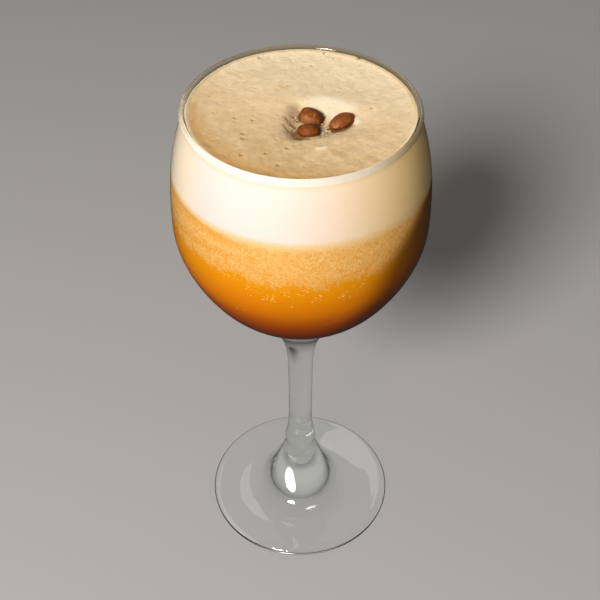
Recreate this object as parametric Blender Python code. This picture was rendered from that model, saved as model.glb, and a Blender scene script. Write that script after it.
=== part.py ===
"""Coffee cocktail with a thick foam head and three roasted beans, in a stemmed wine glass.

The glass stands on the plane z = 0 with its axis on +Z, and the viewer's side is -Y.
Sizes below are in millimetres; every mesh is written in metres.
"""

import math
from typing import NamedTuple

import bmesh
import bpy
import numpy as np
from mathutils import Euler, Matrix, Vector

MM = 0.001
GAP = 0.3                    # clearance between pieces that touch
SEGMENTS = 48                # flats round every turned piece

# Foot: a disc with a thick rounded edge, rising to the stem
FOOT_RADIUS = 35.0
FOOT_UNDER = 33.6            # radius of the flat underside
FOOT_ROUND = 31.6            # radius where the edge's rounded top begins
FOOT_MIDDLE = 1.5            # height of the widest line of the edge
FOOT_CROWN = 1.6             # height of the rounded top above that line
FOOT_TOP = ((27.0, 3.5), (20.0, 4.6), (15.6, 6.5), (12.9, 9.4), (11.2, 13.0))

# Stem as (radius, height): flare, small knop, slim shaft, flare under the bowl
STEM = ((9.5, 17.6), (7.9, 22.0), (6.4, 26.2), (5.55, 29.2), (5.8, 32.5), (5.3, 35.6), (4.75, 39.0),
        (4.4, 46.0), (4.45, 62.0), (4.6, 74.0), (5.4, 82.0), (6.9, 87.2), (9.3, 92.2), (12.2, 96.7),
        (15.8, 101.4), (19.4, 105.4))
BOWL_JOIN_ANGLE = 55.0       # degrees below the widest level where the stem's flare meets the bowl

# Bowl: outer wall measured from the widest level
BOWL_RADIUS = 41.6
BOWL_WIDEST = 144.0          # height of the widest level
BOWL_DEPTH = 40.75           # from the widest level down to the bowl's underside on the axis
BOWL_CHEEK = 0.44            # fullness of the lower wall half way down
BOWL_WAIST = -2.03           # makes the lower wall slimmer near the top, fuller near the stem
WALL = 1.2                   # glass thickness at the side
BASE = 2.0                   # glass thickness at the bottom of the bowl
RIM_HEIGHT = 183.7
RIM_RADIUS = 35.8            # centre circle of the rolled lip
LIP = 1.0                    # radius of the rolled lip
UPPER_CURVE = 2.66           # how late the upper wall turns in towards the rim

# Levels of the drink
DRINK_TOP = 150.0            # clear drink below, fine bubbles above
FOAM_BASE = 162.0            # underside of the foam head
FOAM_LEVEL = 182.0           # foam surface away from the beans
FOAM_CLING = 0.5             # how much the foam climbs at the wall
CLING_REACH = 1.6            # how far from the wall the climb starts
BAND_WAVE = 0.8              # height of the waves in the lower edge of the bubble band

# Hollow in the foam where the beans lie: centre, half widths and depth
HOLLOW_X = 5.2
HOLLOW_Y = -4.4
HOLLOW_HALF_LENGTH = 11.5
HOLLOW_HALF_WIDTH = 9.5
HOLLOW_DEPTH = 1.9
LIP_HEIGHT = 0.5             # raised foam behind the beans

BEAN_AROUND = 24             # flats round a bean
BEAN_ALONG = 12              # rings along a bean
BEAN_CROWN = 0.56            # share of a bean's height above its widest level
BEAN_FLATNESS = 0.7          # below 1 the underside is flatter than the back
CREASE_DEPTH = 0.6
CREASE_HALF_WIDTH = 0.12     # share of the bean's half width
CREASE_FADE = 0.6            # how much shallower the crease is at the ends
DENT_RISE = 3.0              # stretches the upper half of the tool that presses a bean's dent


class Bean(NamedTuple):
    """Sizes and place of one roasted bean, in millimetres and degrees."""

    length: float
    width: float
    height: float
    fullness: float          # below 1 the ends are blunt, above 1 they are pointed
    centre: tuple
    roll: float
    pitch: float
    yaw: float
    color: tuple


BEANS = {
    "coffee_bean_1": Bean(7.8, 6.1, 4.4, 0.85, (2.98, -1.32, 181.1), 10.0, 4.0, -30.0, (0.26, 0.085, 0.030)),
    "coffee_bean_2": Bean(7.2, 5.5, 3.8, 1.05, (2.20, -8.43, 181.0), -8.0, -3.0, -7.0, (0.24, 0.070, 0.020)),
    "coffee_bean_3": Bean(9.4, 5.9, 3.7, 1.00, (12.14, -3.77, 181.2), -12.0, 2.0, 50.0, (0.25, 0.075, 0.035)),
}


def material(name, color, roughness, alpha=1.0, transmission=0.0):
    """A Principled material with the piece's own colour and roughness."""
    made = bpy.data.materials.new(name)
    made.use_nodes = True
    shader = made.node_tree.nodes["Principled BSDF"]
    shader.inputs["Base Color"].default_value = (*color, 1.0)
    shader.inputs["Roughness"].default_value = roughness
    shader.inputs["Metallic"].default_value = 0.0
    shader.inputs["Alpha"].default_value = alpha
    shader.inputs["Transmission Weight"].default_value = transmission
    made.diffuse_color = (*color, alpha)
    return made


def add_object(name, mesh_data, finish):
    """Link a mesh as a named object, shaded smooth, with one finish."""
    made = bpy.data.objects.new(name, mesh_data)
    bpy.context.scene.collection.objects.link(made)
    mesh_data.shade_smooth()
    mesh_data.set_sharp_from_angle(angle=math.radians(40.0))
    mesh_data.materials.append(finish)
    return made


def arc(centre, radii, first, last, count):
    """Points of an arc in the outline's plane, with its radii across and up, angles in degrees."""
    angles = np.radians(np.linspace(first, last, count))
    return [(centre[0] + radii[0] * math.cos(a), centre[1] + radii[1] * math.sin(a)) for a in angles]


def lower_wall(angle):
    """Outer wall (radius, height) at an angle in degrees below the widest level."""
    a = math.radians(angle)
    reach = (BOWL_RADIUS + (BOWL_DEPTH - BOWL_RADIUS) * math.sin(a) ** 2
             + BOWL_CHEEK * math.sin(2 * a) ** 2
             + BOWL_WAIST * math.sin(2 * a) ** 2 * math.cos(2 * a))
    return reach * math.cos(a), BOWL_WIDEST - reach * math.sin(a)


def upper_wall(height):
    """Outer wall radius at a height above the widest level."""
    span = RIM_HEIGHT - 2 * LIP - BOWL_WIDEST
    t = min(max((height - BOWL_WIDEST) / span, 0.0), 1.0)
    return BOWL_RADIUS - (BOWL_RADIUS - RIM_RADIUS) * t ** UPPER_CURVE


def inner_lower_wall(angle, inset):
    """Point on the bowl's inside, square in from the outer wall by the glass and an inset."""
    step = 0.5
    r0, z0 = lower_wall(angle + step)
    r1, z1 = lower_wall(angle - step)
    r, z = lower_wall(angle)
    length = math.hypot(r1 - r0, z1 - z0)
    depth = WALL + (BASE - WALL) * math.sin(math.radians(angle)) ** 4 + inset
    return r - depth * (z1 - z0) / length, z + depth * (r1 - r0) / length


def inner_upper_wall(height, inset):
    """Inside radius at a height above the widest level, with an inset."""
    step = 0.5
    slope = (upper_wall(height + step) - upper_wall(height - step)) / (2 * step)
    return upper_wall(height) - (WALL + inset) * math.hypot(1.0, slope)


# Where the rings of the bowl lie: angles below the widest level, and heights above it
LOWER_ANGLES = (80, 70, 60, 50, 41, 33, 25, 17, 8)
OUTER_STEP = 7.0
OUTER_LEVELS = (144.0, 151.0, 157.5, 163.5, 169.0, 174.0, 178.3, 181.2)
INNER_LEVELS = (144.0, 150.0, 156.0, 162.0, 168.0, 173.5, 178.0, 181.0)
BAND_LEVELS = (156.0,)
FOAM_LEVELS = (168.0, 173.5, 178.0, 180.8)
LAYER_RINGS = (24.0, 12.0)
FOAM_RINGS = (33.3, 31.0, 27.5, 24.0, 21.0, 18.5, 16.0, 13.5, 11.0, 8.5, 6.0, 3.0)


def turned(name, outline, finish, shape=None):
    """Turn a closed outline (radius, height) once round the axis and weld it shut.

    The outline starts and ends on the axis. shape(x, y, z) may give each point a new height.
    """
    shell = bmesh.new()
    points = [shell.verts.new((r * MM, 0.0, z * MM)) for r, z in outline]
    edges = [shell.edges.new(pair) for pair in zip(points, points[1:])]
    bmesh.ops.spin(shell, geom=points + edges, cent=(0, 0, 0), axis=(0, 0, 1),
                   angle=math.tau, steps=SEGMENTS, use_merge=True, use_duplicate=False)
    bmesh.ops.remove_doubles(shell, verts=shell.verts, dist=0.01 * MM)
    if shape:
        for vert in shell.verts:
            x, y, z = vert.co / MM
            vert.co.z = shape(x, y, z) * MM
    bmesh.ops.recalc_face_normals(shell, faces=shell.faces)
    made = bpy.data.meshes.new(name)
    shell.to_mesh(made)
    shell.free()
    return add_object(name, made, finish)


def glass_outline():
    """Outline of the glass: underside of the foot, stem, outer bowl, rolled lip, inner bowl."""
    outline = [(0.0, 0.0)]
    outline += arc((FOOT_UNDER, FOOT_MIDDLE), (FOOT_RADIUS - FOOT_UNDER, FOOT_MIDDLE), -90, 0, 4)
    outline += arc((FOOT_ROUND, FOOT_MIDDLE), (FOOT_RADIUS - FOOT_ROUND, FOOT_CROWN), 0, 90, 6)[1:]
    outline += FOOT_TOP + STEM
    outline += [lower_wall(angle) for angle in np.arange(BOWL_JOIN_ANGLE, 0, -OUTER_STEP)]
    outline += [(upper_wall(z), z) for z in OUTER_LEVELS]
    outline += arc((RIM_RADIUS, RIM_HEIGHT - LIP), (LIP, LIP), -50, 180, 8)
    outline += [(inner_upper_wall(z, 0.0), z) for z in INNER_LEVELS[::-1]]
    outline += [inner_lower_wall(angle, 0.0) for angle in LOWER_ANGLES[::-1]]
    outline.append((0.0, inner_lower_wall(90, 0.0)[1]))
    return outline


def band_wave(x, y):
    """Uneven lower edge of the bubble band, as waves round the wall that die out inwards."""
    a = math.atan2(y, x)
    wave = 0.55 * math.sin(3 * a + 0.6) + 0.3 * math.sin(7 * a + 2.0) + 0.15 * math.sin(13 * a)
    return BAND_WAVE * wave * min(math.hypot(x, y) / BOWL_RADIUS, 1.0) ** 2


def foam_surface(x, y):
    """Height of the foam: level, with a bean hollow, a lip behind it, slow swells and a climb at the wall."""
    u = (x - HOLLOW_X) / HOLLOW_HALF_LENGTH
    v = (y - HOLLOW_Y) / HOLLOW_HALF_WIDTH
    angle = math.atan2(v, u)
    reach = math.hypot(u, v) / (1.0 + 0.10 * math.sin(2 * angle + 0.7) + 0.06 * math.sin(3 * angle + 2.0))
    hollow = -HOLLOW_DEPTH * math.exp(-reach ** 3)
    lip = LIP_HEIGHT * math.exp(-((reach - 1.35) / 0.3) ** 2) * max(math.sin(angle + 0.35), 0.0)
    swell = 0.16 * math.sin(0.17 * x + 0.11 * y + 1.0) + 0.12 * math.sin(0.13 * x - 0.21 * y)
    radius = math.hypot(x, y)
    climb = FOAM_CLING * math.exp(-max(RIM_RADIUS - LIP - GAP - radius, 0.0) / CLING_REACH)
    return FOAM_LEVEL + hollow + lip + swell * max(1.0 - (radius / RIM_RADIUS) ** 4, 0.0) + climb


def make_drink(finish):
    """Clear drink from the bottom of the bowl up to the bubble band."""
    top = DRINK_TOP - GAP / 2
    outline = [(0.0, inner_lower_wall(90, GAP)[1])]
    outline += [inner_lower_wall(angle, GAP) for angle in LOWER_ANGLES]
    outline += [(inner_upper_wall(BOWL_WIDEST, GAP), BOWL_WIDEST), (inner_upper_wall(top, GAP), top)]
    outline += [(r, top) for r in LAYER_RINGS] + [(0.0, top)]
    return turned("espresso_drink", outline, finish,
                  lambda x, y, z: z + band_wave(x, y) if z > top - 0.01 else z)


def make_bubble_band(finish):
    """Layer of fine bubbles between the clear drink and the foam head."""
    low = DRINK_TOP + GAP / 2
    high = FOAM_BASE - GAP / 2
    outline = [(0.0, low)] + [(r, low) for r in LAYER_RINGS[::-1]]
    outline += [(inner_upper_wall(z, GAP), z) for z in (low, *BAND_LEVELS, high)]
    outline += [(0.0, high)]
    return turned("bubble_band", outline, finish,
                  lambda x, y, z: z + band_wave(x, y) if z < low + 0.01 else z)


def make_foam(finish):
    """Foam head up to the level shown, with its uneven top."""
    low = FOAM_BASE + GAP / 2
    edge = RIM_RADIUS - LIP - GAP
    outline = [(0.0, low)]
    outline += [(inner_upper_wall(z, GAP), z) for z in (low, *FOAM_LEVELS)]
    outline += [(r, FOAM_LEVEL) for r in (edge, *FOAM_RINGS, 0.0)]
    return turned("foam_head", outline, finish,
                  lambda x, y, z: foam_surface(x, y) if z > FOAM_LEVEL - 0.01 else z)


def bean_body(bean, grow, crease, rise):
    """Mesh of a bean lying along X: round back above, flatter face with a crease below.

    grow adds to the size all round, and rise stretches the upper half.
    """
    shell = bmesh.new()
    bmesh.ops.create_uvsphere(shell, u_segments=BEAN_AROUND, v_segments=BEAN_ALONG, radius=1.0,
                              matrix=Matrix.Rotation(math.radians(90.0), 4, "Y"))
    for vert in shell.verts:
        along, side, up = vert.co
        slim = math.hypot(side, up)
        full = slim ** bean.fullness / slim if slim > 1e-6 else 0.0
        side *= full
        up *= full
        x = along * (bean.length / 2 + grow)
        y = side * (bean.width / 2 + grow)
        if up > 0:
            z = up * BEAN_CROWN * rise * (bean.height + 2 * grow)
        else:
            z = -abs(up) ** BEAN_FLATNESS * (1 - BEAN_CROWN) * (bean.height + 2 * grow)
        if up < 0 and abs(side) < CREASE_HALF_WIDTH:
            z += crease * (1.0 - CREASE_FADE * along ** 2)
        vert.co = Vector((x, y, z)) * MM
    bmesh.ops.recalc_face_normals(shell, faces=shell.faces)
    return shell


def bean_placing(bean):
    """Rotation and place of a bean on the foam."""
    turn = Euler([math.radians(a) for a in (bean.roll, bean.pitch, bean.yaw)], "XYZ").to_matrix().to_4x4()
    return Matrix.Translation(Vector(bean.centre) * MM) @ turn


def make_bean(name, bean):
    """One roasted bean."""
    shell = bean_body(bean, 0.0, CREASE_DEPTH, 1.0)
    made = bpy.data.meshes.new(name)
    shell.to_mesh(made)
    shell.free()
    placed = add_object(name, made, material(name, bean.color, 0.42))
    placed.matrix_world = bean_placing(bean)
    return placed


def press_dent(foam, name, bean):
    """Cut the bean's seat out of the foam, with a clearance all round."""
    shell = bean_body(bean, GAP, 0.0, DENT_RISE)
    tool_mesh = bpy.data.meshes.new(name)
    shell.to_mesh(tool_mesh)
    shell.free()
    tool = bpy.data.objects.new(name, tool_mesh)
    bpy.context.scene.collection.objects.link(tool)
    tool.matrix_world = bean_placing(bean)
    tool.hide_render = True
    tool.display_type = "WIRE"
    cut = foam.modifiers.new(name, "BOOLEAN")
    cut.operation = "DIFFERENCE"
    cut.solver = "EXACT"
    cut.object = tool


def main():
    """Build the glass, what fills it and the beans on top."""
    for old in list(bpy.data.objects):
        bpy.data.objects.remove(old, do_unlink=True)
    glass = material("clear_glass", (0.93, 0.95, 0.94), 0.03, alpha=0.3, transmission=1.0)
    turned("wine_glass", glass_outline(), glass)
    make_drink(material("amber_drink", (0.72, 0.27, 0.02), 0.15))
    make_bubble_band(material("fine_bubbles", (0.80, 0.42, 0.12), 0.35))
    foam = make_foam(material("cream_foam", (0.90, 0.76, 0.52), 0.55))
    for name, bean in BEANS.items():
        make_bean(name, bean)
        press_dent(foam, name + "_dent", bean)


main()
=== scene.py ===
"""Coffee cocktail in a stemmed glass: clear glass, amber drink, fine bubbles, foam head and three beans.

Every surface is a formula on a grid. Lengths in the formulas are millimetres, in the frame of the CAD
model: the glass stands on z = 0 with its axis on +Z, and the viewer's side is -Y.
"""

from __future__ import annotations

import logging
import math
import sys
from dataclasses import dataclass
from enum import Enum

import bpy
import numpy as np
from mathutils import Euler, Matrix, Vector

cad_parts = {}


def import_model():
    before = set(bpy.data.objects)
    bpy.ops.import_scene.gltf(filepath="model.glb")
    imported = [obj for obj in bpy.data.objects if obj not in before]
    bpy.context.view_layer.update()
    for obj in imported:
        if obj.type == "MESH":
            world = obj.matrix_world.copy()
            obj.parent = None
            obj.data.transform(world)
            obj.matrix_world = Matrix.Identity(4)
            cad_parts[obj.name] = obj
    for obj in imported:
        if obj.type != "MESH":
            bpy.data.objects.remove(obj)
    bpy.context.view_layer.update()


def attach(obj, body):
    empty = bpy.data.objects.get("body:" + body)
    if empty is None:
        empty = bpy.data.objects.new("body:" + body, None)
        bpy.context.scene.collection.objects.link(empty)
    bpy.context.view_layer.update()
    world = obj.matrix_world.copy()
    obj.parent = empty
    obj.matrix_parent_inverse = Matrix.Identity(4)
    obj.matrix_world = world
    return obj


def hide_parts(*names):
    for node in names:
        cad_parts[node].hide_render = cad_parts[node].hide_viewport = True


LOG = logging.getLogger("scene")
MM = 0.001
REACH = 0.15                 # how far drink and foam reach into the glass wall
SHARP = math.radians(50.0)   # edges sharper than this aren't smoothed
PAINTED_LIGHT_LEAN = 0.35            # how much the far side, painted lighter on the foam top and with more painted reflection at the rim, leans to the right
ANY = (0.2, 0.8)             # step that tells a count of 1 or more from none
SHADE_LEVEL = 140.0          # height above which the edge of the drink's painted shade turns away
SHADE_CURVE = 0.0013         # how fast it turns away, radians for each square millimetre

Array = np.ndarray
Rgb = tuple[float, float, float]


class Slot(Enum):
    """Material slots of the record."""

    GLASS = "clear_glass"
    DRINK = "amber_drink"
    BUBBLES = "fine_bubbles"
    FOAM = "cream_foam"
    BEAN = "roasted_bean"


# Shader expressions


class Socket:
    """A shader value that Python arithmetic turns into Math nodes."""

    def __init__(self, paint: Nodes, output: bpy.types.NodeSocket) -> None:
        """Remember the output and the tree that it belongs to."""
        self.paint = paint
        self.output = output

    def __add__(self, other: Value) -> Socket:
        """Sum of two values."""
        return self.paint.math("ADD", self, other)

    def __radd__(self, other: Value) -> Socket:
        """Sum with a plain number in front."""
        return self.paint.math("ADD", other, self)

    def __sub__(self, other: Value) -> Socket:
        """Difference of two values."""
        return self.paint.math("SUBTRACT", self, other)

    def __rsub__(self, other: Value) -> Socket:
        """A plain number less this value."""
        return self.paint.math("SUBTRACT", other, self)

    def __mul__(self, other: Value) -> Socket:
        """Product of two values."""
        return self.paint.math("MULTIPLY", self, other)

    def __rmul__(self, other: Value) -> Socket:
        """Product with a plain number in front."""
        return self.paint.math("MULTIPLY", other, self)

    def __truediv__(self, other: Value) -> Socket:
        """Quotient of two values."""
        return self.paint.math("DIVIDE", self, other)

    def __rtruediv__(self, other: Value) -> Socket:
        """A plain number divided by this value."""
        return self.paint.math("DIVIDE", other, self)

    def __pow__(self, other: Value) -> Socket:
        """This value to a power."""
        return self.paint.math("POWER", self, other)

    def __neg__(self) -> Socket:
        """The value with its sign changed."""
        return self.paint.math("MULTIPLY", self, -1.0)

    def step(self, low: float, high: float) -> Socket:
        """Smooth step from 0 at low to 1 at high; low may be the larger one.

        Args:
            low: Value where the step is 0.
            high: Value where the step is 1.

        Returns:
            The step, between 0 and 1.
        """
        if low > high:
            return 1.0 - self.step(high, low)
        node = self.paint.node("ShaderNodeMapRange", {"interpolation_type": "SMOOTHSTEP"},
                               {"Value": self, "From Min": low, "From Max": high})
        return Socket(self.paint, node.outputs["Result"])

    def bell(self, centre: float, width: float) -> Socket:
        """A soft bump of height 1 round a centre: e to the minus squared distance over width."""
        away = (self - centre) / width
        return self.paint.math("EXPONENT", -(away * away))


Value = Socket | float
Colour = Socket | Rgb


class Nodes:
    """A node tree, built from expressions."""

    def __init__(self, tree: bpy.types.NodeTree) -> None:
        """Start with an empty tree."""
        self.tree = tree
        tree.nodes.clear()

    def node(self, kind: str, settings: dict[str, object] | None = None,
             inputs: dict[str | int, object] | None = None) -> bpy.types.Node:
        """Add a node.

        Args:
            kind: The node's type.
            settings: Its properties, set first.
            inputs: Values or links by socket name or number.

        Returns:
            The node.
        """
        made = self.tree.nodes.new(kind)
        for key, value in (settings or {}).items():
            setattr(made, key, value)
        for key, value in (inputs or {}).items():
            self.feed(made.inputs[key], value)
        return made

    def feed(self, target: bpy.types.NodeSocket, value: object) -> None:
        """Link a socket, or set its constant.

        Args:
            target: The input.
            value: A Socket, a node output, a number or a colour.
        """
        if isinstance(value, Socket):
            self.tree.links.new(value.output, target)
        elif isinstance(value, bpy.types.NodeSocket):
            self.tree.links.new(value, target)
        elif isinstance(value, tuple) and target.type == "RGBA":
            target.default_value = (*value, 1.0)
        else:
            target.default_value = value

    def math(self, operation: str, *values: Value) -> Socket:
        """A Math node.

        Args:
            operation: The node's operation.
            values: Its operands.

        Returns:
            The result.
        """
        node = self.node("ShaderNodeMath", {"operation": operation}, dict(enumerate(values)))
        return Socket(self, node.outputs[0])

    def axes(self, vector: Socket) -> tuple[Socket, Socket, Socket]:
        """The three numbers of a vector."""
        node = self.node("ShaderNodeSeparateXYZ", {}, {0: vector})
        return Socket(self, node.outputs[0]), Socket(self, node.outputs[1]), Socket(self, node.outputs[2])


@dataclass(frozen=True)
class Grain:
    """Noise: grains for each millimetre, octaves, strength of the fine ones, stretch by axis, and warp."""

    scale: float
    detail: float
    roughness: float = 0.5
    stretch: tuple[float, float, float] | float = 1.0
    warp: float = 0.0


class Paint(Nodes):
    """A material's node tree."""

    def __init__(self, name: str) -> None:
        """Start an empty material."""
        self.material = bpy.data.materials.new(name)
        self.material.use_nodes = True
        super().__init__(self.material.node_tree)
        self.output = self.node("ShaderNodeOutputMaterial")

    def place(self, scale: float | tuple[float, float, float] = 1.0) -> Socket:
        """Object coordinates in millimetres.

        Args:
            scale: Further scale, one number or one for each axis.

        Returns:
            The coordinates.
        """
        sizes = scale if isinstance(scale, tuple) else (scale,) * 3
        source = self.node("ShaderNodeTexCoord").outputs["Object"]
        node = self.node("ShaderNodeMapping", {}, {
            "Vector": source, "Scale": tuple(size / MM for size in sizes)})
        return Socket(self, node.outputs[0])

    def mark(self, name: str) -> Socket:
        """A number stored at the points of the mesh."""
        return Socket(self, self.node("ShaderNodeAttribute", {"attribute_name": name}).outputs["Fac"])

    def noise(self, grain: Grain) -> Socket:
        """Noise over the object.

        Args:
            grain: Its settings.

        Returns:
            The noise, about 0.5 on average.
        """
        node = self.node("ShaderNodeTexNoise", {}, {
            "Vector": self.place(grain.stretch), "Scale": grain.scale, "Detail": grain.detail,
            "Roughness": grain.roughness, "Distortion": grain.warp})
        return Socket(self, node.outputs["Fac"])

    def cells(self, scale: float) -> tuple[Socket, Socket]:
        """Cells over the object.

        Args:
            scale: Cells for each millimetre.

        Returns:
            Distance to a cell's middle, and one random number for each cell.
        """
        node = self.node("ShaderNodeTexVoronoi", {}, {"Vector": self.place(), "Scale": scale})
        return Socket(self, node.outputs["Distance"]), self.axes(Socket(self, node.outputs["Color"]))[0]

    def blend(self, factor: Value, first: Colour, second: Colour) -> Socket:
        """Mix of two colours.

        Args:
            factor: Share of the second.
            first: Colour at 0.
            second: Colour at 1.

        Returns:
            The colour.
        """
        node = self.node("ShaderNodeMix", {"data_type": "RGBA"}, {0: factor, 6: first, 7: second})
        return Socket(self, node.outputs[2])

    def coats(self, base: Colour, *layers: tuple[Value, Colour]) -> Socket:
        """Colours laid over one another.

        Args:
            base: The lowest colour.
            layers: Share and colour of each coat, from the lowest up.

        Returns:
            The colour.
        """
        for share, colour in layers:
            base = self.blend(share, base, colour)
        return base

    def bump(self, height: Socket, distance: float, strength: float) -> Socket:
        """Normal that shows a height.

        Args:
            height: The height, 0 to 1.
            distance: Depth of the relief in millimetres.
            strength: How much of it shows.

        Returns:
            The normal.
        """
        node = self.node("ShaderNodeBump", {}, {
            "Height": height, "Distance": distance * MM, "Strength": strength})
        return Socket(self, node.outputs["Normal"])

    def mirrored(self, rays: bpy.types.Node) -> Socket:
        """Tell plain reflections from other rays.

        Args:
            rays: The tree's Light Path node.

        Returns:
            1 for a ray that was mirrored and hasn't run through glass, and 0 for any other.
        """
        reflected, through = (Socket(self, rays.outputs[name]).step(*ANY)
                              for name in ("Glossy Depth", "Transmission Depth"))
        return reflected * (1.0 - through)

    def principled(self, inputs: dict[str, object]) -> bpy.types.Node:
        """A Principled shader with these inputs."""
        return self.node("ShaderNodeBsdfPrincipled", {}, inputs)

    def finish(self, shader: bpy.types.Node) -> bpy.types.Material:
        """Link the shader to the output and give back the material."""
        self.tree.links.new(shader.outputs[0], self.output.inputs["Surface"])
        return self.material


# Finishes


@dataclass(frozen=True)
class ClearGlass:
    """Clear glass that lets shadow rays through, so that light reaches the drink.

    Rays mirrored by its outside also pass, so that the foot isn't mirrored in the bowl. Foam clinging to
    the rim gives it a tan cast, and on the far side a painted reflection of the foam seen through the rim.
    """

    tint: Rgb = (1.0, 1.0, 1.0)
    film_and_reflection: Rgb = (0.82, 0.68, 0.44)
    film_heights: tuple[float, float] = (181.6, 182.2)
    film_in_front: float = 0.25
    front: tuple[float, float] = (-26.0, -10.0)
    shade: Rgb = (0.975, 0.98, 0.977)
    body_tint: Rgb = (0.72, 0.84, 0.74)
    body_density: float = 7.0
    index: float = 1.5

    def material(self) -> bpy.types.Material:
        """The glass."""
        paint = Paint("clear_glass")
        x, y, height = paint.axes(paint.place())
        # tan cast at the rim: real foam in front, and painted reflection of the foam on the far side
        behind = (y + x * PAINTED_LIGHT_LEAN).step(*self.front)
        film_and_reflection = height.step(*self.film_heights) * (self.film_in_front + (1.0 - self.film_in_front) * behind)
        colour = paint.blend(film_and_reflection, self.tint, self.film_and_reflection)
        glass = paint.principled({
            "Base Color": colour, "Roughness": 0.0, "IOR": self.index, "Transmission Weight": 1.0})
        clear = paint.node("ShaderNodeBsdfTransparent", {}, {"Color": self.shade})
        rays = paint.node("ShaderNodeLightPath")
        passing = paint.math("MAXIMUM", Socket(paint, rays.outputs["Is Shadow Ray"]),
                             Socket(paint, rays.outputs["Is Diffuse Ray"]))
        passing = paint.math("MAXIMUM", passing, paint.mirrored(rays))
        mixed = paint.node("ShaderNodeMixShader", {}, {
            0: passing, 1: glass.outputs[0], 2: clear.outputs[0]})
        body = paint.node("ShaderNodeVolumeAbsorption", {}, {
            "Color": self.body_tint, "Density": self.body_density})
        paint.tree.links.new(body.outputs[0], paint.output.inputs["Volume"])
        return paint.finish(mixed)


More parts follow.
